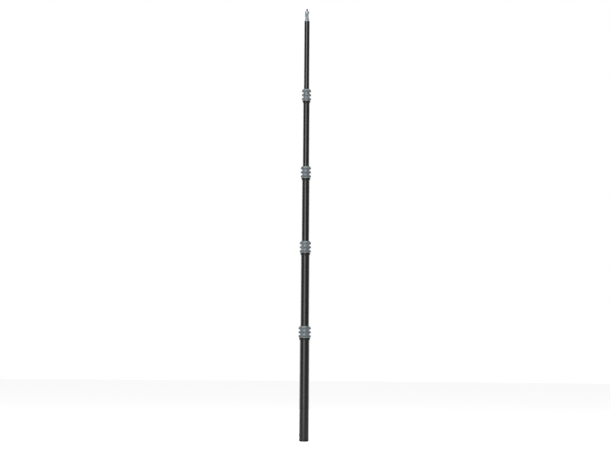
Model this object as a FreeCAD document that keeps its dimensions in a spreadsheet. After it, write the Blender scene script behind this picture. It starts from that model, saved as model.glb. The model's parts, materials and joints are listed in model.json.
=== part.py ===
import FreeCAD, Part
import math
import os
import Sketcher

# Telescopic boom pole: five nested carbon-fibre sections, four collet locks, a threaded tip and a
# closed base. Millimetres, +Z up the pole, origin at the centre of the base's underside. Sections
# are counted from the base (1) to the tip (5); lock k sits on the upper end of section k.

SECTIONS = 5
LOCKS = range(1, SECTIONS)
THREAD_RINGS = 3
COLLET_SLOTS = 6

# Driving dimensions. Radial sizes that end in _rise are measured outwards from the tube they stand
# on. drawn_back is how far a section is short of its stop in the modelled pose.
SIZES = {
    "base_tube_diameter": 33.0,
    "tube_diameter_step": 3.6,
    "tube_wall": 1.2,
    "base_length": 345.0,
    "drawn_back_2": 40.7,
    "drawn_back_3": 122.6,
    "drawn_back_4": 162.3,
    "drawn_back_5": 194.2,
    "stack_gap": 2.0,
    "nest_step": 2.5,
    "retained_length": 45.0,
    "running_clearance": 0.08,
    "end_clearance": 0.3,
    "shoulder_height": 8.2,
    "shoulder_rise": 2.2,
    "shoulder_taper": 3.0,
    "shoulder_foot_rise": 0.6,
    "tube_seat_height": 13.0,
    "stop_lip_thickness": 2.5,
    "thread_rise": 1.4,
    "thread_pitch": 1.5,
    "thread_depth": 0.6,
    "thread_crest_flat": 0.36,
    "seal_section": 0.9,
    "nut_seat_gap": 0.25,
    "thread_runout": 0.6,
    "groove_setback": 0.3,
    "rib_height": 6.8,
    "rib_rise": 4.1,
    "groove_height": 6.8,
    "groove_floor_drop": 0.2,
    "groove_floor_width": 3.6,
    "groove_fillet": 1.6,
    "rib_fillet": 0.7,
    "nut_foot_chamfer": 1.2,
    "nut_wall": 0.6,
    "nut_mouth_rise": 0.7,
    "nut_mouth_height": 4.4,
    "collet_head_rise": 2.6,
    "collet_head_height": 1.4,
    "collet_cone_height": 4.2,
    "collet_cone_tip_rise": 0.8,
    "collet_crown_gap": 1.0,
    "collet_slot_width": 1.2,
    "collet_foot_height": 5.4,
    "wiper_web": 1.2,
    "wiper_height": 1.8,
    "wiper_depth": 1.4,
    "bushing_height": 12.0,
    "bushing_flange": 1.5,
    "stop_ring_height": 8.0,
    "cap_height": 6.0,
    "cap_edge_radius": 2.5,
    "plug_height": 28.0,
    "plug_bore_diameter": 18.0,
    "plug_floor": 9.0,
    "bottom_gap": 5.0,
    "pad_margin": 1.5,
    "pad_thickness": 2.4,
    "pad_proud": 0.6,
    "screw_height": 22.0,
    "screw_diameter": 3.0,
    "screw_head_diameter": 5.6,
    "screw_head_height": 1.5,
    "screw_head_rim": 0.5,
    "screw_head_crown": 1.5,
    "screw_head_round": 0.5,
    "screw_seat_depth": 0.4,
    "screw_reach": 5.5,
    "screw_hex_size": 2.0,
    "screw_hex_depth": 1.0,
    "tip_plug_flange": 1.5,
    "tip_plug_depth": 24.0,
    "tip_thread_diameter": 9.525,
    "tip_thread_length": 12.0,
    "tip_foot_diameter": 15.0,
    "tip_foot_rim": 4.0,
    "tip_foot_cone": 7.0,
    "tip_waist_diameter": 10.6,
    "tip_waist_length": 3.0,
    "tip_hex_size": 12.0,
    "tip_hex_length": 14.0,
    "tip_hex_turn": 10.0,
    "tip_flange_diameter": 15.0,
    "tip_flange_thickness": 5.8,
    "tip_edge_chamfer": 0.5,
    "stud_diameter": 6.35,
    "stud_shank_diameter": 5.0,
    "stud_proud": 8.0,
    "stud_sunk": 10.0,
    "stud_chamfer": 0.7,
}

doc = FreeCAD.newDocument("BoomPole")
sheet = doc.addObject("Spreadsheet::Sheet", "Sizes")
for row, (alias, number) in enumerate(SIZES.items(), start=1):
    sheet.set(f"A{row}", alias)
    sheet.set(f"B{row}", str(number))
    sheet.setAlias(f"B{row}", alias)
doc.recompute()


def size(alias):
    """The expression that reads one cell of the sheet."""
    return f"Sizes.{alias}"


def value(expression):
    """The number that an expression gives at the present sizes."""
    result = sheet.evalExpression(expression)
    return float(getattr(result, "Value", result))


# Radii and heights that more than one piece shares, each worked out from the driving dimensions.


def outer_radius(section):
    return f"(Sizes.base_tube_diameter / 2 - {section - 1} * Sizes.tube_diameter_step / 2)"


def bore_radius(section):
    return f"({outer_radius(section)} - Sizes.tube_wall)"


def low_end(section):
    """Height of a section's lower end above the base when the pole is collapsed."""
    return f"(Sizes.plug_height + Sizes.bottom_gap + {section - 2} * Sizes.nest_step)"


# Heights in a lock, from the underside of its shoulder ring upwards.
FERRULE_TOP = "(Sizes.tube_seat_height + Sizes.stop_lip_thickness)"
NUT_FOOT = "(Sizes.shoulder_height + Sizes.nut_seat_gap)"
THREAD_END = f"({FERRULE_TOP} + Sizes.thread_runout)"
FIRST_GROOVE = f"({THREAD_END} + Sizes.groove_setback)"
CROWN = f"({FIRST_GROOVE} + 2 * Sizes.groove_height + 2 * Sizes.rib_height)"
LOCK_TOP = f"({CROWN} + Sizes.nut_mouth_height)"
COLLET_TOP = f"({CROWN} - Sizes.collet_crown_gap)"
CONE_BASE = f"({COLLET_TOP} - Sizes.collet_cone_height)"
HEAD_BASE = f"({CONE_BASE} - Sizes.collet_head_height)"
WIPER_BASE = f"({COLLET_TOP} + Sizes.wiper_web)"

# Heights in the tip, from the top of the last section upwards.
TIP_WAIST = "(Sizes.tip_foot_rim + Sizes.tip_foot_cone)"
TIP_HEX_BASE = f"({TIP_WAIST} + Sizes.tip_waist_length)"
TIP_FLANGE = f"({TIP_HEX_BASE} + Sizes.tip_hex_length)"
TIP_TOP = f"({TIP_FLANGE} + Sizes.tip_flange_thickness)"


def collapsed_lock(lock):
    """Height of a lock when the pole is collapsed and the locks are stacked."""
    return f"(Sizes.base_length + {lock - 1} * ({LOCK_TOP} + Sizes.stack_gap))"


def full_step(section):
    """Height from one lock to the next with the section drawn out to its stop."""
    stop = "Sizes.tube_seat_height - Sizes.end_clearance - Sizes.retained_length"
    return f"({stop} + {collapsed_lock(section)} - {low_end(section)})"


def rest_lock(lock):
    """Height of a lock in the modelled pose, in which every section is part way out."""
    steps = "".join(f" + {full_step(k)} - Sizes.drawn_back_{k}" for k in range(2, lock + 1))
    return f"(Sizes.base_length{steps})"


def travelled(section):
    """How far a section stands above its collapsed place in the modelled pose."""
    return f"({rest_lock(section)} - {collapsed_lock(section)})"


def rest_low_end(section):
    return f"({low_end(section)} + {travelled(section)})"


def tube_top(section):
    """Height of a section's upper end above its own lower end."""
    if section == SECTIONS:
        return f"({collapsed_lock(section)} - Sizes.tip_plug_flange - {low_end(section)})"
    return f"({collapsed_lock(section)} + Sizes.tube_seat_height - {low_end(section)})"


# Helpers for features.


def new_body(label, height="0"):
    body = doc.addObject("PartDesign::Body", label)
    body.Label = label
    body.setExpression(".Placement.Base.z", height)
    return body


def origin_plane(body, role):
    return next(item for item in body.Origin.OriginFeatures if item.Role == role)


def new_sketch(body, role, name, offset="0"):
    sketch = body.newObject("Sketcher::SketchObject", name)
    sketch.AttachmentSupport = [(origin_plane(body, role), "")]
    sketch.MapMode = "FlatFace"
    sketch.setExpression(".AttachmentOffset.Base.z", offset)
    return sketch


def pin_point(sketch, line, x, y):
    """Holds the start of a line at two expressions, measured from the sketch's origin."""
    for kind, place in (("DistanceX", x), ("DistanceY", y)):
        index = sketch.addConstraint(Sketcher.Constraint(kind, -1, 1, line, 1, value(place)))
        sketch.setExpression(f"Constraints[{index}]", place)


def outline(sketch, points):
    """Draws a closed outline through (x, y) pairs of expressions."""
    places = [FreeCAD.Vector(value(x), value(y), 0) for x, y in points]
    for place, following in zip(places, places[1:] + places[:1]):
        sketch.addGeometry(Part.LineSegment(place, following), False)
    for line, (x, y) in enumerate(points):
        following = (line + 1) % len(points)
        sketch.addConstraint(Sketcher.Constraint("Coincident", line, 2, following, 1))
        pin_point(sketch, line, x, y)


def circle(sketch, radius, x="0", y="0"):
    place = FreeCAD.Vector(value(x), value(y), 0)
    index = sketch.addGeometry(Part.Circle(place, FreeCAD.Vector(0, 0, 1), value(radius)), False)
    held = sketch.addConstraint(Sketcher.Constraint("Radius", index, value(radius)))
    sketch.setExpression(f"Constraints[{held}]", radius)
    for kind, distance in (("DistanceX", x), ("DistanceY", y)):
        held = sketch.addConstraint(Sketcher.Constraint(kind, -1, 1, index, 3, value(distance)))
        sketch.setExpression(f"Constraints[{held}]", distance)


def revolve(body, points, name="Profile", kind="PartDesign::Revolution"):
    """Turns an outline of (radius, height) pairs about the pole's axis."""
    sketch = new_sketch(body, "XZ_Plane", name)
    outline(sketch, points)
    turned = body.newObject(kind, f"{name}Turned")
    turned.Profile = sketch
    turned.ReferenceAxis = (sketch, ["V_Axis"])
    turned.Angle = 360
    doc.recompute()
    return turned


def pad_tube(body, outside, inside, length):
    """Pads a ring between two radii upwards from the body's own floor."""
    sketch = new_sketch(body, "XY_Plane", "Ring")
    circle(sketch, outside)
    circle(sketch, inside)
    pad = body.newObject("PartDesign::Pad", "Wall")
    pad.Profile = sketch
    pad.setExpression("Length", length)
    doc.recompute()
    return pad


def circles_at(feature, places):
    """Names of the circular edges at the given (radius, height) pairs of expressions."""
    wanted = [(value(radius), value(height)) for radius, height in places]
    names = []
    for number, edge in enumerate(feature.Shape.Edges, start=1):
        if not isinstance(edge.Curve, Part.Circle):
            continue
        centre = edge.Curve.Center
        on_axis = math.hypot(centre.x, centre.y) < 0.001
        for radius, height in wanted:
            if on_axis and abs(edge.Curve.Radius - radius) < 0.001 and abs(centre.z - height) < 0.001:
                names.append(f"Edge{number}")
    return names


def dress(body, kind, name, feature, places, amount_name, amount):
    """Fillets or chamfers the circular edges at the given places."""
    dressed = body.newObject(kind, name)
    dressed.Base = (feature, circles_at(feature, places))
    dressed.setExpression(amount_name, amount)
    doc.recompute()
    return dressed


# Pieces of a section.


def make_section_tube(section):
    if section == 1:
        body = new_body("section_1_tube", size("cap_height"))
        length = "(Sizes.base_length + Sizes.tube_seat_height - Sizes.cap_height)"
    else:
        body = new_body(f"section_{section}_tube", f"{rest_low_end(section)} + Sizes.bushing_flange")
        length = f"({tube_top(section)} - Sizes.bushing_flange)"
    pad_tube(body, outer_radius(section), bore_radius(section), length)
    return body


def guide_radius(section):
    """Outside of a part that slides in the bore of the section below."""
    return f"({bore_radius(section - 1)} - Sizes.running_clearance)"


def make_guide_bushing(section):
    """Flanged sleeve bonded over the lower end of an inner section."""
    body = new_body(f"section_{section}_guide_bushing", rest_low_end(section))
    revolve(
        body,
        [
            (bore_radius(section), "0"),
            (guide_radius(section), "0"),
            (guide_radius(section), size("bushing_height")),
            (outer_radius(section), size("bushing_height")),
            (outer_radius(section), size("bushing_flange")),
            (bore_radius(section), size("bushing_flange")),
        ],
    )
    return body


def make_stop_ring(section):
    """Bonded ring that meets the ferrule's lip and keeps the section from being pulled out."""
    height = f"{rest_low_end(section)} + Sizes.retained_length - Sizes.stop_ring_height"
    body = new_body(f"section_{section}_stop_ring", height)
    pad_tube(body, guide_radius(section), outer_radius(section), size("stop_ring_height"))
    return body


# Pieces of a lock. Each is drawn in the lock's own heights and placed by its body.


def make_ferrule(lock):
    """Shoulder ring, seal groove, thread and stop lip in one piece, bonded over the tube's end."""
    body = new_body(f"lock_{lock}_ferrule", rest_lock(lock))
    wall = outer_radius(lock)
    lip = f"({outer_radius(lock + 1)} + Sizes.running_clearance)"
    shoulder = f"({wall} + Sizes.shoulder_rise)"
    crest = f"({wall} + Sizes.thread_rise)"
    turned = revolve(
        body,
        [
            (wall, "0"),
            (f"({wall} + Sizes.shoulder_foot_rise)", "0"),
            (shoulder, size("shoulder_taper")),
            (shoulder, size("shoulder_height")),
            (crest, size("shoulder_height")),
            (crest, FERRULE_TOP),
            (lip, FERRULE_TOP),
            (lip, size("tube_seat_height")),
            (wall, size("tube_seat_height")),
        ],
    )
    dress(
        body,
        "PartDesign::Fillet",
        "ShoulderRound",
        turned,
        [(shoulder, size("shoulder_taper"))],
        "Radius",
        "Sizes.shoulder_taper / 2",
    )
    seal_floor = f"({crest} - Sizes.seal_section)"
    seal_top = f"({NUT_FOOT} + Sizes.seal_section)"
    revolve(
        body,
        [
            (seal_floor, NUT_FOOT),
            (crest, NUT_FOOT),
            (crest, seal_top),
            (seal_floor, seal_top),
        ],
        "SealGroove",
        "PartDesign::Groove",
    )
    cut_thread_relief(body, crest)
    return body


def cut_thread_relief(body, crest):
    """One V ring, repeated up the ferrule at the thread's pitch."""
    low = f"({FERRULE_TOP} - {THREAD_RINGS} * Sizes.thread_pitch)"
    sketch = new_sketch(body, "XZ_Plane", "ThreadForm")
    outline(
        sketch,
        [
            (f"({crest} - Sizes.thread_depth)", f"({low} + Sizes.thread_pitch / 2)"),
            (crest, f"({low} + Sizes.thread_crest_flat / 2)"),
            (crest, f"({low} + Sizes.thread_pitch - Sizes.thread_crest_flat / 2)"),
        ],
    )
    groove = body.newObject("PartDesign::Groove", "ThreadRing")
    groove.Profile = sketch
    groove.ReferenceAxis = (sketch, ["V_Axis"])
    groove.Angle = 360
    doc.recompute()
    rows = body.newObject("PartDesign::LinearPattern", "ThreadRings")
    rows.Originals = [groove]
    rows.Direction = (sketch, ["V_Axis"])
    rows.Occurrences = THREAD_RINGS
    rows.setExpression("Length", f"{THREAD_RINGS - 1} * Sizes.thread_pitch")
    body.Tip = rows
    doc.recompute()


def make_thread_seal(lock):
    """Rubber ring in the ferrule's groove; it drags on the nut and keeps grit out of the thread."""
    ring = doc.addObject("Part::Torus", f"lock_{lock}_thread_seal")
    ring.Label = f"lock_{lock}_thread_seal"
    crest = f"({outer_radius(lock)} + Sizes.thread_rise)"
    ring.setExpression("Radius1", f"{crest} - Sizes.seal_section / 2")
    ring.setExpression("Radius2", "Sizes.seal_section / 2")
    ring.setExpression(".Placement.Base.z", f"{rest_lock(lock)} + {NUT_FOOT} + Sizes.seal_section / 2")
    return ring


def collet_outside(lock):
    """Outside of the collet's sleeve, inside the thinnest wall of the grip nut."""
    floor = f"({outer_radius(lock)} - Sizes.groove_floor_drop)"
    return f"({floor} - Sizes.nut_wall - Sizes.running_clearance)"


def make_collet(lock):
    """Split sleeve with a conical head that the nut squeezes onto the inner section."""
    body = new_body(f"lock_{lock}_collet", rest_lock(lock))
    tube = outer_radius(lock + 1)
    inside = f"({tube} + Sizes.running_clearance)"
    outside = collet_outside(lock)
    head = f"({tube} + Sizes.collet_head_rise)"
    revolve(
        body,
        [
            (inside, f"({FERRULE_TOP} + Sizes.running_clearance)"),
            (outside, f"({FERRULE_TOP} + Sizes.running_clearance)"),
            (outside, HEAD_BASE),
            (head, HEAD_BASE),
            (head, CONE_BASE),
            (f"({tube} + Sizes.collet_cone_tip_rise)", COLLET_TOP),
            (inside, COLLET_TOP),
        ],
    )
    sketch = new_sketch(body, "XY_Plane", "Slot", f"{FERRULE_TOP} + Sizes.collet_foot_height")
    half = "(Sizes.collet_slot_width / 2)"
    reach = f"({outer_radius(lock)} + Sizes.rib_rise)"
    outline(
        sketch,
        [
            (f"{tube} / 2", f"-{half}"),
            (reach, f"-{half}"),
            (reach, half),
            (f"{tube} / 2", half),
        ],
    )
    slot = body.newObject("PartDesign::Pocket", "SlotCut")
    slot.Profile = sketch
    slot.Type = "ThroughAll"
    slot.Reversed = True
    doc.recompute()
    slots = body.newObject("PartDesign::PolarPattern", "Slots")
    slots.Originals = [slot]
    slots.Axis = (sketch, ["N_Axis"])
    slots.Angle = 360
    slots.Occurrences = COLLET_SLOTS
    body.Tip = slots
    doc.recompute()
    return body


def make_grip_nut(lock):
    """Collar with three grip ribs; its foot runs on the ferrule and its mouth closes the collet."""
    body = new_body(f"lock_{lock}_grip_nut", rest_lock(lock))
    wall = outer_radius(lock)
    tube = outer_radius(lock + 1)
    clearance = size("running_clearance")
    rib = f"({wall} + Sizes.rib_rise)"
    floor = f"({wall} - Sizes.groove_floor_drop)"
    thread = f"({wall} + Sizes.thread_rise + Sizes.running_clearance)"
    bore = f"({floor} - Sizes.nut_wall)"
    cavity = f"({tube} + Sizes.collet_head_rise + Sizes.running_clearance)"
    mouth = f"({tube} + Sizes.end_clearance)"
    points = [(thread, NUT_FOOT), (rib, NUT_FOOT)]
    floors = []
    rims = []
    for groove in range(2):
        below = f"({FIRST_GROOVE} + {groove} * (Sizes.groove_height + Sizes.rib_height))"
        above = f"({below} + Sizes.groove_height)"
        slope = "(Sizes.groove_height - Sizes.groove_floor_width) / 2"
        floor_pair = [(floor, f"({below} + {slope})"), (floor, f"({above} - {slope})")]
        rim_pair = [(rib, below), (rib, above)]
        points += [rim_pair[0], *floor_pair, rim_pair[1]]
        floors += floor_pair
        rims += rim_pair
    rims.append((rib, CROWN))
    points += [
        (rib, CROWN),
        (f"({tube} + Sizes.nut_mouth_rise)", LOCK_TOP),
        (mouth, LOCK_TOP),
        (mouth, f"({COLLET_TOP} + {clearance})"),
        (f"({tube} + Sizes.collet_cone_tip_rise + {clearance})", f"({COLLET_TOP} + {clearance})"),
        (cavity, f"({CONE_BASE} + {clearance})"),
        (cavity, f"({HEAD_BASE} - {clearance})"),
        (bore, f"({HEAD_BASE} - {clearance})"),
        (bore, THREAD_END),
        (thread, THREAD_END),
    ]
    revolve(body, points)
    revolve(
        body,
        [
            (tube, WIPER_BASE),
            (f"({tube} + Sizes.wiper_depth)", WIPER_BASE),
            (f"({tube} + Sizes.wiper_depth)", f"({WIPER_BASE} + Sizes.wiper_height)"),
            (tube, f"({WIPER_BASE} + Sizes.wiper_height)"),
        ],
        "WiperSeat",
        "PartDesign::Groove",
    )
    seat = body.Tip
    rounded = dress(body, "PartDesign::Fillet", "GrooveRound", seat, floors, "Radius", size("groove_fillet"))
    eased = dress(body, "PartDesign::Fillet", "RibRound", rounded, rims, "Radius", size("rib_fillet"))
    foot = [(rib, NUT_FOOT)]
    dress(body, "PartDesign::Chamfer", "FootChamfer", eased, foot, "Size", size("nut_foot_chamfer"))
    return body


def make_wiper(lock):
    """Felt ring in the nut's mouth that wipes the inner section."""
    body = new_body(f"lock_{lock}_wiper_ring", f"{rest_lock(lock)} + {WIPER_BASE}")
    tube = outer_radius(lock + 1)
    pad_tube(
        body,
        f"({tube} + Sizes.wiper_depth)",
        f"({tube} + Sizes.running_clearance)",
        size("wiper_height"),
    )
    return body


# Pieces of the base.

PAD_RADIUS = f"({outer_radius(1)} - Sizes.cap_edge_radius - Sizes.pad_margin)"


def make_base_plug():
    """Cap with a hollow spigot that closes the lowest section."""
    body = new_body("base_plug")
    outside = outer_radius(1)
    spigot = bore_radius(1)
    pad_top = "Sizes.pad_thickness"
    bore = "(Sizes.plug_bore_diameter / 2)"
    turned = revolve(
        body,
        [
            ("0", pad_top),
            (PAD_RADIUS, pad_top),
            (PAD_RADIUS, size("pad_proud")),
            (outside, size("pad_proud")),
            (outside, size("cap_height")),
            (spigot, size("cap_height")),
            (spigot, size("plug_height")),
            (bore, size("plug_height")),
            (bore, size("plug_floor")),
            ("0", size("plug_floor")),
        ],
    )
    dress(
        body,
        "PartDesign::Fillet",
        "EdgeRound",
        turned,
        [(outside, size("pad_proud"))],
        "Radius",
        size("cap_edge_radius"),
    )
    cut_from_side(body, "ScrewHole", size("screw_height"), "Sizes.screw_diameter / 2")
    return body


def cut_from_side(body, name, height, radius, start="0"):
    """Cuts a round hole from a distance off the axis outwards along -X."""
    sketch = new_sketch(body, "YZ_Plane", name, f"-({start})")
    circle(sketch, radius, "0", height)
    hole = body.newObject("PartDesign::Pocket", f"{name}Cut")
    hole.Profile = sketch
    hole.Type = "ThroughAll"
    doc.recompute()
    return hole


def make_screw_seat(tube):
    """Clearance hole and flat seat in the lowest tube for the cap's screw."""
    height = "(Sizes.screw_height - Sizes.cap_height)"
    cut_from_side(tube, "ScrewHole", height, "Sizes.screw_diameter / 2")
    seat = f"{outer_radius(1)} - Sizes.screw_seat_depth"
    cut_from_side(tube, "ScrewSeat", height, "Sizes.screw_head_diameter / 2", seat)


def make_base_pad():
    """Rubber disc let into the underside of the cap."""
    pad = doc.addObject("Part::Cylinder", "base_pad")
    pad.Label = "base_pad"
    pad.setExpression("Radius", PAD_RADIUS)
    pad.setExpression("Height", size("pad_thickness"))
    return pad


def make_base_screw():
    """Button-head screw through the lowest tube into the plug, pointing in from -X."""
    body = doc.addObject("PartDesign::Body", "base_screw")
    body.Label = "base_screw"
    body.Placement = FreeCAD.Placement(FreeCAD.Vector(0, 0, 0), FreeCAD.Rotation(FreeCAD.Vector(0, 1, 0), -90))
    seat = f"({outer_radius(1)} - Sizes.screw_seat_depth)"
    body.setExpression(".Placement.Base.x", f"-{seat}")
    body.setExpression(".Placement.Base.z", size("screw_height"))
    head = "(Sizes.screw_head_diameter / 2)"
    shank = "(Sizes.screw_diameter / 2)"
    rim = (head, size("screw_head_rim"))
    crown = (size("screw_head_crown"), size("screw_head_height"))
    turned = revolve(
        body,
        [
            ("0", f"-{size('screw_reach')}"),
            (shank, f"-{size('screw_reach')}"),
            (shank, "0"),
            (head, "0"),
            rim,
            crown,
            ("0", size("screw_head_height")),
        ],
    )
    dress(body, "PartDesign::Fillet", "HeadRound", turned, [rim, crown], "Radius", size("screw_head_round"))
    socket = body.newObject("PartDesign::SubtractivePrism", "Socket")
    socket.Polygon = 6
    socket.setExpression("Circumradius", "Sizes.screw_hex_size / 2 / cos(30deg)")
    socket.setExpression("Height", size("screw_hex_depth"))
    socket.setExpression(".Placement.Base.z", "Sizes.screw_head_height - Sizes.screw_hex_depth")
    doc.recompute()
    return body


# Pieces of the tip.


def make_tip_plug():
    """Insert bonded in the top section, with a flange over the tube's end and a threaded bore."""
    body = new_body("tip_plug", rest_lock(SECTIONS))
    bore = "(Sizes.tip_thread_diameter / 2)"
    flange = outer_radius(SECTIONS)
    turned = revolve(
        body,
        [
            (bore, "-Sizes.tip_plug_depth"),
            (bore_radius(SECTIONS), "-Sizes.tip_plug_depth"),
            (bore_radius(SECTIONS), "-Sizes.tip_plug_flange"),
            (flange, "-Sizes.tip_plug_flange"),
            (flange, "0"),
            (bore, "0"),
        ],
    )
    dress(body, "PartDesign::Chamfer", "FlangeEdge", turned, [(flange, "0")], "Size", "Sizes.tip_plug_flange / 2")
    return body


def make_tip_adapter():
    """Turned spigot: threaded shank, bell foot, waist, spanner hexagon and flange."""
    body = new_body("tip_adapter", rest_lock(SECTIONS))
    shank = "(Sizes.tip_thread_diameter / 2)"
    foot = "(Sizes.tip_foot_diameter / 2)"
    waist = "(Sizes.tip_waist_diameter / 2)"
    flange = "(Sizes.tip_flange_diameter / 2)"
    turned = revolve(
        body,
        [
            ("0", "-Sizes.tip_thread_length"),
            (shank, "-Sizes.tip_thread_length"),
            (shank, "0"),
            (foot, "0"),
            (foot, size("tip_foot_rim")),
            (waist, TIP_WAIST),
            (waist, TIP_FLANGE),
            (flange, TIP_FLANGE),
            (flange, TIP_TOP),
            ("0", TIP_TOP),
        ],
    )
    edges = [(foot, "0"), (flange, TIP_FLANGE), (flange, TIP_TOP)]
    dress(body, "PartDesign::Chamfer", "Edges", turned, edges, "Size", size("tip_edge_chamfer"))
    hexagon = body.newObject("PartDesign::AdditivePrism", "Hexagon")
    hexagon.Polygon = 6
    hexagon.setExpression("Circumradius", "Sizes.tip_hex_size / 2 / cos(30deg)")
    hexagon.setExpression("Height", size("tip_hex_length"))
    hexagon.setExpression(".Placement.Base.z", TIP_HEX_BASE)
    hexagon.setExpression(".Placement.Rotation.Angle", size("tip_hex_turn"))
    doc.recompute()
    sketch = new_sketch(body, "XY_Plane", "StudHole", TIP_TOP)
    circle(sketch, "Sizes.stud_shank_diameter / 2")
    hole = body.newObject("PartDesign::Pocket", "StudHoleCut")
    hole.Profile = sketch
    hole.setExpression("Length", size("stud_sunk"))
    doc.recompute()
    return body


def make_tip_stud():
    """Threaded stud with a plain shank pressed into the adapter; a microphone mount screws onto it."""
    body = new_body("tip_stud", f"{rest_lock(SECTIONS)} + {TIP_TOP}")
    shank = "(Sizes.stud_shank_diameter / 2)"
    crest = "(Sizes.stud_diameter / 2)"
    top = (crest, size("stud_proud"))
    turned = revolve(
        body,
        [
            ("0", "-Sizes.stud_sunk"),
            (shank, "-Sizes.stud_sunk"),
            (shank, "0"),
            (crest, "0"),
            top,
            ("0", size("stud_proud")),
        ],
    )
    dress(body, "PartDesign::Chamfer", "LeadIn", turned, [top], "Size", size("stud_chamfer"))
    return body


def make_everything():
    pieces = []
    for section in range(1, SECTIONS + 1):
        tube = make_section_tube(section)
        pieces.append(tube)
        if section == 1:
            make_screw_seat(tube)
        else:
            pieces.append(make_guide_bushing(section))
            pieces.append(make_stop_ring(section))
    for lock in LOCKS:
        pieces.append(make_ferrule(lock))
        pieces.append(make_thread_seal(lock))
        pieces.append(make_collet(lock))
        pieces.append(make_grip_nut(lock))
        pieces.append(make_wiper(lock))
    pieces += [make_base_plug(), make_base_pad(), make_base_screw()]
    pieces += [make_tip_plug(), make_tip_adapter(), make_tip_stud()]
    return pieces


pieces = make_everything()
doc.recompute()
for item in doc.Objects:
    if "Invalid" in item.State or "Error" in item.State:
        raise RuntimeError(f"{item.Label} failed: {item.State}")
for piece in pieces:
    if piece.Shape.isNull() or not piece.Shape.isValid() or len(piece.Shape.Solids) != 1:
        raise RuntimeError(f"{piece.Label} is not one valid solid")

os.makedirs("parts", exist_ok=True)
for piece in pieces:
    piece.Shape.exportStep(f"parts/{piece.Label}.step")
    box = piece.Shape.BoundBox
    print(f"{piece.Label:26s} z {box.ZMin:8.2f} to {box.ZMax:8.2f}  volume {piece.Shape.Volume:10.1f}")
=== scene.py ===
import bpy
import json
import math
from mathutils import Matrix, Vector


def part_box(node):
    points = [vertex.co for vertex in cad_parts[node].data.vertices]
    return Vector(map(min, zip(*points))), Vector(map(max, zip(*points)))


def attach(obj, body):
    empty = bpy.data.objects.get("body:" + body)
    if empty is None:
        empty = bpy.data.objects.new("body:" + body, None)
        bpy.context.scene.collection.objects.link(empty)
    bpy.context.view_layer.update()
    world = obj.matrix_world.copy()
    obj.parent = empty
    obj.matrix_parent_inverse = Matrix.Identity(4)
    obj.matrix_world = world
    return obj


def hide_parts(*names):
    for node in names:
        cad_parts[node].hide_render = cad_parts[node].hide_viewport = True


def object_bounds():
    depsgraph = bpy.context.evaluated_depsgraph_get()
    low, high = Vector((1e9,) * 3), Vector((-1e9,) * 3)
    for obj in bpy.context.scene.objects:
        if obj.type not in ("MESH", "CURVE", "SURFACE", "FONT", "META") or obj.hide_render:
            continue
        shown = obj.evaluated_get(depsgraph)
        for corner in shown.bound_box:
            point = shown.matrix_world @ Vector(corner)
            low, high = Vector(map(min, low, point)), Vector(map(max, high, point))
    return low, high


# %% [markdown]
# # A telescopic boom pole
#
# The pole is five carbon-fibre tubes that slide inside one another. Four locks hold them, a turned
# spigot with a thread closes the top, and a cap with a rubber foot closes the bottom. The solid
# parts come from the CAD frame and stay exactly where they are. This lesson gives each of them a
# finish, and adds the two things that are too fine for the frame: the knurl that lets a cold hand
# grip the lock collars, and the screw thread on the stud.

# %% Load the frame
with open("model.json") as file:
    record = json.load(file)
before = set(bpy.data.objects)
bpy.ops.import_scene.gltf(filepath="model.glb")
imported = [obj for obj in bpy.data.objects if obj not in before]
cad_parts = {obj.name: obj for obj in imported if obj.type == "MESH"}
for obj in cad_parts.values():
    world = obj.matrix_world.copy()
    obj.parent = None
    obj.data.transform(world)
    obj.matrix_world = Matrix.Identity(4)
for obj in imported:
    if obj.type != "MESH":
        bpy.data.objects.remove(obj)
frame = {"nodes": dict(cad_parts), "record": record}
cad_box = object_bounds()
MM = 0.001
slot_of = {row["node"]: row["material_slot"] for row in frame["record"]["subparts"]}
print("CAD nodes:", len(slot_of), "height in mm:", round(cad_box[1].z / MM, 1))


# %% [markdown]
# ## A small kit for materials
#
# Every finish here is a Principled shader with some nodes in front of it. Most of the code in a
# node tree is plumbing, so one small class does it: `node` makes a node and fills its inputs, and
# `math` is the same for arithmetic, which the woven and turned finishes need a lot of. Everything
# reads Object coordinates. The pieces sit at the origin, so those are metres along the real pole,
# and a pattern keeps its true size on every piece.

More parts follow.
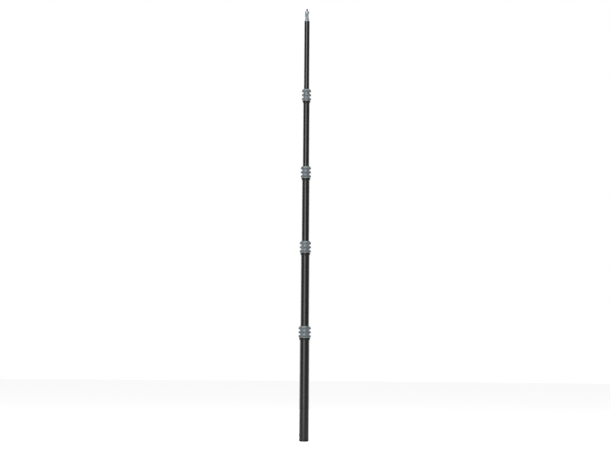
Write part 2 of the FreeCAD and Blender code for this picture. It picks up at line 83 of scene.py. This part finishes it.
class Finish:
    def __init__(self, name, **settings):
        self.material = bpy.data.materials.new(name)
        self.material.use_nodes = True
        self.tree = self.material.node_tree
        self.shader = self.tree.nodes["Principled BSDF"]
        for label, number in settings.items():
            self.shader.inputs[label.replace("_", " ")].default_value = number
        place = self.node("ShaderNodeTexCoord").outputs["Object"]
        self.place = place
        apart = self.node("ShaderNodeSeparateXYZ", Vector=place)
        self.x, self.y, self.z = apart.outputs

    def fill(self, node, key, given):
        if isinstance(given, bpy.types.NodeSocket):
            self.tree.links.new(given, node.inputs[key])
        else:
            node.inputs[key].default_value = given

    def node(self, kind, settings=None, **inputs):
        made = self.tree.nodes.new(kind)
        for attribute, setting in (settings or {}).items():
            setattr(made, attribute, setting)
        for label, given in inputs.items():
            self.fill(made, label.replace("_", " "), given)
        return made

    def math(self, operation, a, b=0.0):
        made = self.tree.nodes.new("ShaderNodeMath")
        made.operation = operation
        self.fill(made, 0, a)
        self.fill(made, 1, b)
        return made.outputs[0]

    def noise(self, per_metre, detail=3.0, stretch=(1, 1, 1), roughness=0.55):
        scaled = self.node("ShaderNodeMapping", Vector=self.place, Scale=stretch)
        texture = self.node("ShaderNodeTexNoise", Vector=scaled.outputs[0],
                            Scale=per_metre, Detail=detail, Roughness=roughness)
        return texture.outputs[0]

    def spread(self, factor, low, high, start=0.3, stop=0.7):
        """Maps a factor between two numbers; noise seldom leaves 0.3 to 0.7."""
        mapped = self.node("ShaderNodeMapRange", Value=factor)
        for label, number in zip(("From Min", "From Max", "To Min", "To Max"), (start, stop, low, high)):
            mapped.inputs[label].default_value = number
        return mapped.outputs[0]

    def tint(self, factor, low, high):
        """A colour between two others."""
        mixed = self.node("ShaderNodeMix", {"data_type": "RGBA"})
        self.fill(mixed, 0, factor)
        self.fill(mixed, 6, (*low, 1))
        self.fill(mixed, 7, (*high, 1))
        return mixed.outputs[2]

    def colour(self, socket):
        self.tree.links.new(socket, self.shader.inputs["Base Color"])

    def roughness(self, socket):
        self.tree.links.new(socket, self.shader.inputs["Roughness"])

    def bump(self, height, depth, strength=1.0):
        """Adds relief of a real depth in metres, on top of any that is there already."""
        made = self.node("ShaderNodeBump", Height=height, Distance=depth, Strength=strength)
        before = self.shader.inputs["Normal"].links
        if before:
            self.tree.links.new(before[0].from_socket, made.inputs["Normal"])
        self.tree.links.new(made.outputs[0], self.shader.inputs["Normal"])


print("the kit is ready")

# %% [markdown]
# ## Carbon tubes
#
# The tubes are rolled from prepreg cloth and clear-coated to a satin gloss. The cloth is a 2x2
# twill: each bundle of fibres goes over two and under two, one step further in the next row, which
# gives the faint diagonal. The weave is worked out round the tube instead of projected on it. The
# angle about the axis counts the bundles that run up the pole, the height counts those that run
# round it, and a whole number of bundles, a multiple of four, makes the seam vanish. The contrast
# is low, because resin fills the weave and both directions are black. A felt ring wipes each inner
# tube whenever it slides, so every tube is a little glossier than the one outside it.

# %% Carbon finish
TOW = 2.0 * MM
TWILL_REPEAT = 4
OUTER_ROUGHNESS = 0.27
ROUGHNESS_STEP = 0.012
OUTER_CLEAR_COAT = 0.4
CLEAR_COAT_STEP = 0.12
WEAVE_RELIEF = 0.018 * MM


def carbon(name, radius, gloss, clear):
    finish = Finish(name, Metallic=0.0, Coat_Weight=clear, Coat_Roughness=0.16, Coat_IOR=1.5)
    round_tube = TWILL_REPEAT * round(2 * math.pi * radius / TOW / TWILL_REPEAT)
    angle = finish.math("ARCTAN2", finish.y, finish.x)
    across = finish.math("MULTIPLY", angle, round_tube / (2 * math.pi))
    along = finish.math("DIVIDE", finish.z, TOW)
    column = finish.math("FLOOR", across)
    row = finish.math("FLOOR", along)
    step = finish.math("FLOORED_MODULO", finish.math("ADD", column, row), TWILL_REPEAT)
    upright = finish.math("LESS_THAN", step, TWILL_REPEAT / 2 - 0.5)
    middle = [finish.math("SUBTRACT", finish.math("FRACT", part), 0.5) for part in (across, along)]
    crowns = []
    for part in middle:
        square = finish.math("MULTIPLY", part, finish.math("MULTIPLY", part, 4.0))
        crowns.append(finish.math("SUBTRACT", 1.0, square))
    crown = finish.node("ShaderNodeMix", {"data_type": "FLOAT"})
    for index, given in ((0, upright), (2, crowns[1]), (3, crowns[0])):
        finish.fill(crown, index, given)
    strands_up = finish.node("ShaderNodeCombineXYZ", X=finish.math("MULTIPLY", across, 9.0),
                             Y=finish.math("MULTIPLY", along, 0.4), Z=column)
    strands_round = finish.node("ShaderNodeCombineXYZ", X=finish.math("MULTIPLY", across, 0.4),
                                Y=finish.math("MULTIPLY", along, 9.0), Z=row)
    strands = finish.node("ShaderNodeMix", {"data_type": "VECTOR"})
    for index, given in ((0, upright), (4, strands_round.outputs[0]), (5, strands_up.outputs[0])):
        finish.fill(strands, index, given)
    threads = finish.node("ShaderNodeTexNoise", Vector=strands.outputs[1], Scale=1.0, Detail=2.0)
    fibres = threads.outputs[0]
    cloth = finish.math("MULTIPLY", crown.outputs[0], finish.spread(fibres, 0.75, 1.0))
    finish.colour(finish.tint(cloth, (0.007, 0.007, 0.0072), (0.022, 0.022, 0.0225)))
    handled = finish.noise(38, 4, (1, 1, 0.25))
    finish.roughness(finish.spread(handled, gloss, gloss + 0.1))
    finish.bump(cloth, WEAVE_RELIEF, 0.5)
    return finish.material


carbon_of = {}
for number in range(1, 6):
    node = f"section_{number}_tube"
    low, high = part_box(node)
    gloss = OUTER_ROUGHNESS - ROUGHNESS_STEP * number
    clear = OUTER_CLEAR_COAT + CLEAR_COAT_STEP * number
    carbon_of[node] = carbon(f"carbon_{number}", (high.x - low.x) / 2, gloss, clear)
print("carbon finishes:", len(carbon_of))

# %% [markdown]
# ## Anodised and turned metal
#
# Three things make a machined aluminium part look machined. The blasted surface under the dye is a
# fine grain, far below a millimetre. The dye itself takes a little unevenly. A lathe leaves faint
# rings, so on turned faces a second relief depends only on the distance from the axis and on the
# height. `metal` makes all three, and each finish says how strong they are. The dye layer also
# scatters light of its own, so the dyed finishes are only partly metallic.

# %% Metal finishes
LATHE_PITCH = 0.28 * MM


def metal(name, dark, light, rough, metallic=1.0, grain=0.012, rings=0.0):
    """A metal from its two colours, its roughness, and the depth in mm of its grain and its rings."""
    finish = Finish(name, Metallic=metallic)
    dye = finish.noise(95, 4)
    finish.colour(finish.tint(finish.spread(dye, 0.0, 1.0), dark, light))
    rubbed = finish.noise(420, 3, (1, 1, 0.3))
    finish.roughness(finish.spread(rubbed, rough - 0.05, rough + 0.06))
    finish.bump(finish.noise(5200, 2), grain * MM, 0.6)
    if rings:
        out = finish.node("ShaderNodeVectorMath", {"operation": "LENGTH"})
        flat = finish.node("ShaderNodeCombineXYZ", X=finish.x, Y=finish.y)
        finish.tree.links.new(flat.outputs[0], out.inputs[0])
        path = finish.math("ADD", out.outputs["Value"], finish.z)
        turns = finish.math("MULTIPLY", path, 2 * math.pi / LATHE_PITCH)
        strength = finish.spread(finish.noise(900, 2, (0.02, 0.02, 1)), 0.3, 1.0)
        finish.bump(finish.math("MULTIPLY", finish.math("SINE", turns), strength), rings * MM, 0.5)
    return finish.material


metals = {
    "grey_anodised": metal("grey_anodised", (0.36, 0.41, 0.44), (0.43, 0.48, 0.51), 0.42, 0.6,
                           grain=0.014, rings=0.006),
    # painted shade: the knurl teeth get a darker, less metallic copy of the grey anodised colour, standing in
    # for the shade on their facets
    "knurled": metal("knurled", (0.22, 0.25, 0.268), (0.275, 0.31, 0.33), 0.55, 0.35, grain=0.014),
    "black_anodised": metal("black_anodised", (0.028, 0.028, 0.030), (0.044, 0.044, 0.046), 0.27, 0.6,
                            grain=0.008, rings=0.006),
    "base_black": metal("base_black", (0.022, 0.022, 0.024), (0.036, 0.036, 0.038), 0.30, 0.5,
                        grain=0.010, rings=0.006),
    "tip_metal": metal("tip_metal", (0.52, 0.59, 0.64), (0.62, 0.69, 0.74), 0.34, 0.75,
                       grain=0.004, rings=0.010),
    "stud_steel": metal("stud_steel", (0.34, 0.35, 0.36), (0.46, 0.47, 0.48), 0.34, grain=0.006),
    "screw_steel": metal("screw_steel", (0.030, 0.030, 0.032), (0.060, 0.058, 0.056), 0.38, 0.9,
                         grain=0.006),
}
print("metal finishes:", ", ".join(metals))

# %% [markdown]
# ## Rubber, felt and acetal
#
# These are the quiet materials. Rubber is moulded, so it has a faint pebble and picks up dust.
# Felt is short fibre in every direction, which is noise stretched three ways and a soft sheen.
# Acetal is a waxy off-white plastic that lets a little light in, with fine machining rings.

# %% Soft and plastic finishes
def rubber(name, dark, light):
    finish = Finish(name, Metallic=0.0)
    finish.colour(finish.tint(finish.spread(finish.noise(160, 5), 0.0, 1.0), dark, light))
    finish.roughness(finish.spread(finish.noise(700, 3), 0.62, 0.82))
    finish.bump(finish.noise(2600, 3), 0.03 * MM, 0.7)
    return finish.material


def felt(name):
    finish = Finish(name, Metallic=0.0, Sheen_Weight=0.5, Sheen_Roughness=0.5)
    hairs = [finish.noise(1900, 4, stretch) for stretch in ((1, 0.2, 1), (0.2, 1, 1), (1, 1, 0.2))]
    mat = finish.math("ADD", hairs[0], finish.math("ADD", hairs[1], hairs[2]))
    tone = finish.spread(mat, 0.0, 1.0, 1.2, 1.8)
    finish.colour(finish.tint(tone, (0.020, 0.020, 0.021), (0.065, 0.065, 0.068)))
    finish.roughness(finish.spread(hairs[0], 0.85, 0.98))
    finish.bump(mat, 0.12 * MM, 0.9)
    return finish.material


def acetal(name):
    finish = Finish(name, Metallic=0.0, Subsurface_Weight=0.15, Subsurface_Scale=1.0 * MM)
    tone = finish.spread(finish.noise(120, 3), 0.0, 1.0)
    finish.colour(finish.tint(tone, (0.66, 0.65, 0.60), (0.76, 0.75, 0.71)))
    finish.roughness(finish.spread(finish.noise(800, 2, (0.05, 0.05, 1)), 0.34, 0.50))
    turns = finish.math("MULTIPLY", finish.z, 2 * math.pi / LATHE_PITCH)
    finish.bump(finish.math("SINE", turns), 0.006 * MM, 0.6)
    return finish.material


soft = {
    "seal_rubber": rubber("seal_rubber", (0.016, 0.016, 0.016), (0.030, 0.030, 0.030)),
    "pad_rubber": rubber("pad_rubber", (0.020, 0.020, 0.020), (0.045, 0.044, 0.042)),
    "felt": felt("felt"),
    "acetal": acetal("acetal"),
}
print("other finishes:", ", ".join(soft))

# %% [markdown]
# ## Every CAD piece gets its finish
#
# The record names a material slot for each piece, so the finishes are handed out by that name.
# The tubes are the exception: their weave depends on the radius, so each has its own.

# %% Hand out the finishes
finishes = {**metals, **soft}
for name, piece in frame["nodes"].items():
    piece.data.materials.clear()
    piece.data.materials.append(carbon_of.get(name) or finishes[slot_of[name]])
print("pieces with a finish:", len(frame["nodes"]))

# %% [markdown]
# ## A kit for node trees that make shapes
#
# What repeats by the hundred is made with Geometry Nodes. A tree is built here in code, with named
# inputs for its sizes. It runs on an empty mesh, and its result is read back as a plain mesh, so no
# modifier is left on the finished piece.

class Shape:
    def __init__(self, name, **sizes):
        self.tree = bpy.data.node_groups.new(name, "GeometryNodeTree")
        self.tree.interface.new_socket("Geometry", in_out="OUTPUT", socket_type="NodeSocketGeometry")
        self.sockets = {}
        for label, number in sizes.items():
            kind = "NodeSocketInt" if isinstance(number, int) else "NodeSocketFloat"
            socket = self.tree.interface.new_socket(label.replace("_", " "), in_out="INPUT", socket_type=kind)
            self.sockets[label] = (socket.identifier, number)
        self.given = self.tree.nodes.new("NodeGroupInput")
        self.result = self.tree.nodes.new("NodeGroupOutput")

    def size(self, label):
        return self.given.outputs[label.replace("_", " ")]

    def node(self, kind, settings=None, **inputs):
        made = self.tree.nodes.new(kind)
        for attribute, setting in (settings or {}).items():
            setattr(made, attribute, setting)
        for label, given in inputs.items():
            self.fill(made, label.replace("_", " "), given)
        return made

    def fill(self, node, key, given):
        if isinstance(given, bpy.types.NodeSocket):
            self.tree.links.new(given, node.inputs[key])
        else:
            node.inputs[key].default_value = given

    def math(self, operation, a, b=0.0):
        made = self.tree.nodes.new("ShaderNodeMath")
        made.operation = operation
        self.fill(made, 0, a)
        self.fill(made, 1, b)
        return made.outputs[0]

    def point(self, angle, radius, height):
        """A point from its angle, its distance from the axis and its height."""
        return self.node("ShaderNodeCombineXYZ",
                         X=self.math("MULTIPLY", radius, self.math("COSINE", angle)),
                         Y=self.math("MULTIPLY", radius, self.math("SINE", angle)),
                         Z=height).outputs[0]

    def make(self, name, geometry, material):
        """Ends the tree, runs it once and returns the piece as a plain mesh object."""
        real = self.node("GeometryNodeRealizeInstances", Geometry=geometry)
        painted = self.node("GeometryNodeSetMaterial", Geometry=real.outputs[0])
        painted.inputs["Material"].default_value = material
        self.tree.links.new(painted.outputs[0], self.result.inputs[0])
        carrier = bpy.data.objects.new(f"{name}_tree", bpy.data.meshes.new(f"{name}_tree"))
        bpy.context.scene.collection.objects.link(carrier)
        modifier = carrier.modifiers.new("Shape", "NODES")
        modifier.node_group = self.tree
        for identifier, number in self.sockets.values():
            modifier[identifier] = number
        bpy.context.view_layer.update()
        ready = carrier.evaluated_get(bpy.context.evaluated_depsgraph_get())
        mesh = bpy.data.meshes.new_from_object(ready)
        mesh.name = name
        carrier.modifiers.remove(modifier)
        bpy.data.objects.remove(carrier)
        piece = bpy.data.objects.new(name, mesh)
        bpy.context.scene.collection.objects.link(piece)
        return piece


print("the shape kit is ready")

# %% [markdown]
# ## The knurl on the lock collars
#
# Each collar has three ribs, and each rib is rolled with a diamond knurl: rows of small pyramids,
# every other row half a tooth further round, so their bases close up without a gap. The foot of each
# pyramid is sunk a little and widened to match, so no smooth rib shows in the valleys. The knurl is
# given a darker, less metallic copy of the grey anodised colour. This is painted shade, standing in
# for the darker look that the sideways facets of the teeth take from the dim room.
#
# One pyramid is a four-sided cone. The tree lays out one point for each tooth from its running
# number, which gives the tooth, its row and its rib by division and remainder, and stands a pyramid
# on each point. A collar carries about fifteen hundred to two thousand teeth, and each has six
# triangles.

# %% Knurled teeth
RIBS = 3
ROWS = 7
TOOTH = 1.35 * MM
TOOTH_RISE = 0.4 * MM
TOOTH_ROOT = 0.06 * MM
RIB_SPACING = 13.6 * MM
CONE_HEIGHT = 4.4 * MM
RIB_EDGE = 0.7 * MM


def knurl(name, radius, top, material):
    teeth = round(2 * math.pi * radius / TOOTH)
    shape = Shape("Knurl", Rib_radius=radius, Top_row=top, Tooth_width=TOOTH, Tooth_rise=TOOTH_RISE,
                  Root=TOOTH_ROOT, Rib_spacing=RIB_SPACING, Teeth=teeth, Rows=ROWS, Ribs=RIBS)
    per_rib = shape.math("MULTIPLY", shape.size("Teeth"), shape.size("Rows"))
    points = shape.node("GeometryNodePoints", Count=shape.math("MULTIPLY", per_rib, shape.size("Ribs")))
    index = shape.node("GeometryNodeInputIndex").outputs[0]
    tooth = shape.math("FLOORED_MODULO", index, shape.size("Teeth"))
    line = shape.math("FLOOR", shape.math("DIVIDE", index, shape.size("Teeth")))
    row = shape.math("FLOORED_MODULO", line, shape.size("Rows"))
    rib = shape.math("FLOOR", shape.math("DIVIDE", index, per_rib))
    stagger = shape.math("MULTIPLY", shape.math("FLOORED_MODULO", row, 2.0), 0.5)
    turn = shape.math("DIVIDE", shape.math("ADD", tooth, stagger), shape.size("Teeth"))
    angle = shape.math("MULTIPLY", turn, 2 * math.pi)
    half = shape.math("MULTIPLY", shape.size("Tooth_width"), 0.5)
    row_drop = shape.math("MULTIPLY", row, half)
    rib_drop = shape.math("MULTIPLY", rib, shape.size("Rib_spacing"))
    height = shape.math("SUBTRACT", shape.size("Top_row"), shape.math("ADD", row_drop, rib_drop))
    seat = shape.math("SUBTRACT", shape.size("Rib_radius"), shape.size("Root"))
    placed = shape.node("GeometryNodeSetPosition", Geometry=points.outputs[0],
                        Position=shape.point(angle, seat, height))
    depth = shape.math("ADD", shape.size("Tooth_rise"), shape.size("Root"))
    foot = shape.math("MULTIPLY", half, shape.math("DIVIDE", depth, shape.size("Tooth_rise")))
    pyramid = shape.node("GeometryNodeMeshCone", Vertices=4, Radius_Top=0.0, Radius_Bottom=foot,
                         Depth=depth)
    outward = shape.node("FunctionNodeEulerToRotation", Euler=shape.node(
        "ShaderNodeCombineXYZ", X=0.0, Y=math.pi / 2, Z=angle).outputs[0])
    stood = shape.node("GeometryNodeInstanceOnPoints", Points=placed.outputs[0],
                       Instance=pyramid.outputs["Mesh"], Rotation=outward.outputs[0])
    return shape.make(name, stood.outputs[0], material), teeth


for lock in range(1, 5):
    low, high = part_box(f"lock_{lock}_grip_nut")
    top_row = high.z - CONE_HEIGHT - RIB_EDGE - TOOTH / 2
    piece, teeth = knurl(f"lock_{lock}_knurl", (high.x - low.x) / 2, top_row, finishes["knurled"])
    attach(piece, f"lock_{lock}_nut")
    print(piece.name, "teeth round:", teeth, "faces:", len(piece.data.polygons))

# %% [markdown]
# ## The thread on the stud
#
# A microphone mount screws onto a 1/4 inch stud with 20 threads to the inch. A thread follows one
# rule: the radius at any spot depends on how far that spot is, in turns, from the helix. So the
# tree bends a flat grid into a tube and sets each vertex's radius by that rule. The crest and the
# root are cut flat, the last part is limited by the lead-in chamfer, and the first and last rows
# close on the axis, so the piece is one watertight skin.

# %% Stud thread
THREAD_PITCH = 25.4 / 20 * MM
THREAD_DEPTH = 0.78 * MM
LEAD_IN = 0.7 * MM
SUNK = 0.3 * MM
FLAT_SHARE = 0.15
SEAM_WIDTH = 0.002 * MM
ROUND_STEPS = 72
LENGTH_STEPS = 130


def thread(name, radius, base, length, material):
    shape = Shape("Thread", Crest_radius=radius, Depth=THREAD_DEPTH, Pitch=THREAD_PITCH, Base=base,
                  Length=length, Lead_in=LEAD_IN, Round_steps=ROUND_STEPS + 1, Length_steps=LENGTH_STEPS + 1)
    grid = shape.node("GeometryNodeMeshGrid", Size_X=1.0, Size_Y=1.0,
                      Vertices_X=shape.size("Round_steps"), Vertices_Y=shape.size("Length_steps"))
    spot = shape.node("ShaderNodeSeparateXYZ", Vector=shape.node("GeometryNodeInputPosition").outputs[0])
    turn = shape.math("ADD", spot.outputs[0], 0.5)
    row = shape.math("ADD", spot.outputs[1], 0.5)
    open_rows = shape.math("SUBTRACT", shape.size("Length_steps"), 3.0)
    step = shape.math("DIVIDE", shape.size("Length"), open_rows)
    all_rows = shape.math("SUBTRACT", shape.size("Length_steps"), 1.0)
    run = shape.math("MULTIPLY", row, shape.math("MULTIPLY", step, all_rows))
    loose = shape.math("SUBTRACT", run, step)
    height = shape.math("MINIMUM", shape.math("MAXIMUM", loose, 0.0), shape.size("Length"))
    turns_up = shape.math("DIVIDE", height, shape.size("Pitch"))
    phase = shape.math("FRACT", shape.math("SUBTRACT", turns_up, turn))
    wedge = shape.math("ABSOLUTE", shape.math("SUBTRACT", shape.math("MULTIPLY", phase, 2.0), 1.0))
    flank = shape.math("SUBTRACT", shape.math("MULTIPLY", wedge, 1 + 2 * FLAT_SHARE), FLAT_SHARE)
    share = shape.math("MINIMUM", shape.math("MAXIMUM", flank, 0.0), 1.0)
    cut = shape.math("MULTIPLY", shape.math("SUBTRACT", 1.0, share), shape.size("Depth"))
    threaded = shape.math("SUBTRACT", shape.size("Crest_radius"), cut)
    lead_start = shape.math("SUBTRACT", shape.size("Length"), shape.size("Lead_in"))
    into_lead = shape.math("MAXIMUM", shape.math("SUBTRACT", height, lead_start), 0.0)
    limit = shape.math("SUBTRACT", shape.size("Crest_radius"), into_lead)
    skin = shape.math("MINIMUM", threaded, limit)
    apart = shape.math("ABSOLUTE", shape.math("SUBTRACT", loose, height))
    closed = shape.math("LESS_THAN", apart, shape.math("MULTIPLY", step, 0.5))
    radius_here = shape.math("MULTIPLY", skin, closed)
    angle = shape.math("MULTIPLY", turn, 2 * math.pi)
    level = shape.math("ADD", height, shape.size("Base"))
    bent = shape.node("GeometryNodeSetPosition", Geometry=grid.outputs["Mesh"],
                      Position=shape.point(angle, radius_here, level))
    merged = shape.node("GeometryNodeMergeByDistance", Geometry=bent.outputs[0], Distance=SEAM_WIDTH)
    smooth = shape.node("GeometryNodeSetShadeSmooth", Geometry=merged.outputs[0])
    return shape.make(name, smooth.outputs[0], material)


stud_low, stud_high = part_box("tip_stud")
flange_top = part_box("tip_adapter")[1].z
stud = thread("tip_stud_thread", (stud_high.x - stud_low.x) / 2, flange_top - SUNK,
              stud_high.z - flange_top + SUNK, finishes["stud_steel"])
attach(stud, "section_5")
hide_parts("tip_stud")
print(stud.name, "faces:", len(stud.data.polygons))

# %% [markdown]
# ## The studio
#
# The pole stands on a pale floor before a white wall. A glossy tube shows its surroundings, so the
# light decides how it looks. A tall soft box near the camera, a little to the left, draws the bright
# line up the front of every tube. The room stays dim to anything but the camera, so the flanks stay
# black. The wall behind and a wing on each side of it catch the rims, where a clear coat reflects
# most, and fill the sides of the metal collars.

# %% Floor and room
FLOOR_RADIUS = 9.0
FLOOR_SIDES = 96
FLOOR_DROP = 1.0 * MM
FLOOR_GLOW = 0.85
ROOM_FILL = 0.1
ROOM_WHITE = 1.0

floor_mesh = bpy.data.meshes.new("floor")
edge = [(FLOOR_RADIUS * math.cos(a), FLOOR_RADIUS * math.sin(a), -FLOOR_DROP)
        for a in (2 * math.pi * k / FLOOR_SIDES for k in range(FLOOR_SIDES))]
floor_mesh.from_pydata(edge, [], [list(range(FLOOR_SIDES))])
floor = bpy.data.objects.new("floor", floor_mesh)
bpy.context.scene.collection.objects.link(floor)
paper = Finish("floor_paper", Metallic=0.0, Roughness=0.9, Emission_Color=(1, 1, 1, 1))
seen = paper.node("ShaderNodeLightPath").outputs["Is Camera Ray"]
lit = paper.spread(seen, ROOM_FILL, FLOOR_GLOW, 0.0, 1.0)
paper.tree.links.new(lit, paper.shader.inputs["Emission Strength"])
mottle = paper.spread(paper.noise(3, 2), 0.0, 1.0)
paper.colour(paper.tint(mottle, (0.88, 0.88, 0.88), (0.91, 0.91, 0.91)))
floor_mesh.materials.append(paper.material)

world = bpy.data.worlds.new("room")
bpy.context.scene.world = world
world.use_nodes = True
sky = world.node_tree
room = sky.nodes["Background"]
room.inputs["Color"].default_value = (1.0, 1.0, 1.0, 1)
path = sky.nodes.new("ShaderNodeLightPath")
level = sky.nodes.new("ShaderNodeMapRange")
level.inputs["To Min"].default_value = ROOM_FILL
level.inputs["To Max"].default_value = ROOM_WHITE
sky.links.new(path.outputs["Is Camera Ray"], level.inputs["Value"])
sky.links.new(level.outputs[0], room.inputs["Strength"])
print("room and floor are ready")


# %% Lights
def soft_box(name, place, width, height, brightness):
    """A soft box of a given brightness, aimed at the pole; its power follows from its area."""
    lamp = bpy.data.lights.new(name, "AREA")
    lamp.shape = "RECTANGLE"
    lamp.size = width
    lamp.size_y = height
    lamp.energy = brightness * math.pi * width * height
    box = bpy.data.objects.new(name, lamp)
    box.location = place
    aim = Vector((0, 0, min(place[2], cad_box[1].z))) - Vector(place)
    box.rotation_euler = aim.to_track_quat("-Z", "Y").to_euler()
    box.visible_camera = False
    bpy.context.scene.collection.objects.link(box)


middle = cad_box[1].z / 2
soft_box("front_box", (-0.6, -2.6, middle + 0.6), 1.8, 2.8, 2.2)
soft_box("left_wing", (-2.4, 1.7, middle + 0.3), 1.2, 2.6, 2.4)
soft_box("right_wing", (2.4, 1.7, middle + 0.3), 1.2, 2.6, 1.8)
soft_box("top_box", (0.0, -0.3, 3.6), 3.0, 3.0, 1.1)
soft_box("back_wall", (0.0, 4.0, middle + 0.4), 7.0, 3.4, 1.0)

# %% [markdown]
# ## The camera
#
# The pole is seen straight from the front, level with its middle, through a very long lens, so
# nothing converges. It leans by less than half a degree, which is the camera's own tilt.

# %% Camera
LENS = 400.0
SENSOR = 36.0
VIEW_WIDTH = 2.074
FAR_CLIP = 200.0
ASIDE = -1.7 * MM
RAISED = 1.0 * MM
LEAN = math.radians(0.44)
eye = bpy.data.cameras.new("camera")
eye.lens = LENS
eye.sensor_width = SENSOR
eye.clip_end = FAR_CLIP
camera = bpy.data.objects.new("camera", eye)
camera.location = (ASIDE, -VIEW_WIDTH * LENS / SENSOR, middle + RAISED)
camera.rotation_euler = (math.pi / 2, -LEAN, 0)
bpy.context.scene.collection.objects.link(camera)
bpy.context.scene.camera = camera
bpy.context.scene.view_settings.view_transform = "Standard"
print("camera distance in metres:", round(-camera.location.y, 2))

# %% [markdown]
# ## The sizes
#
# The looks hardly change the size: only the teeth of the knurl stand proud, by 0.4 mm. The box of
# the CAD pieces is printed.

# %% Print the CAD box
print("CAD box:", [list(corner) for corner in cad_box])
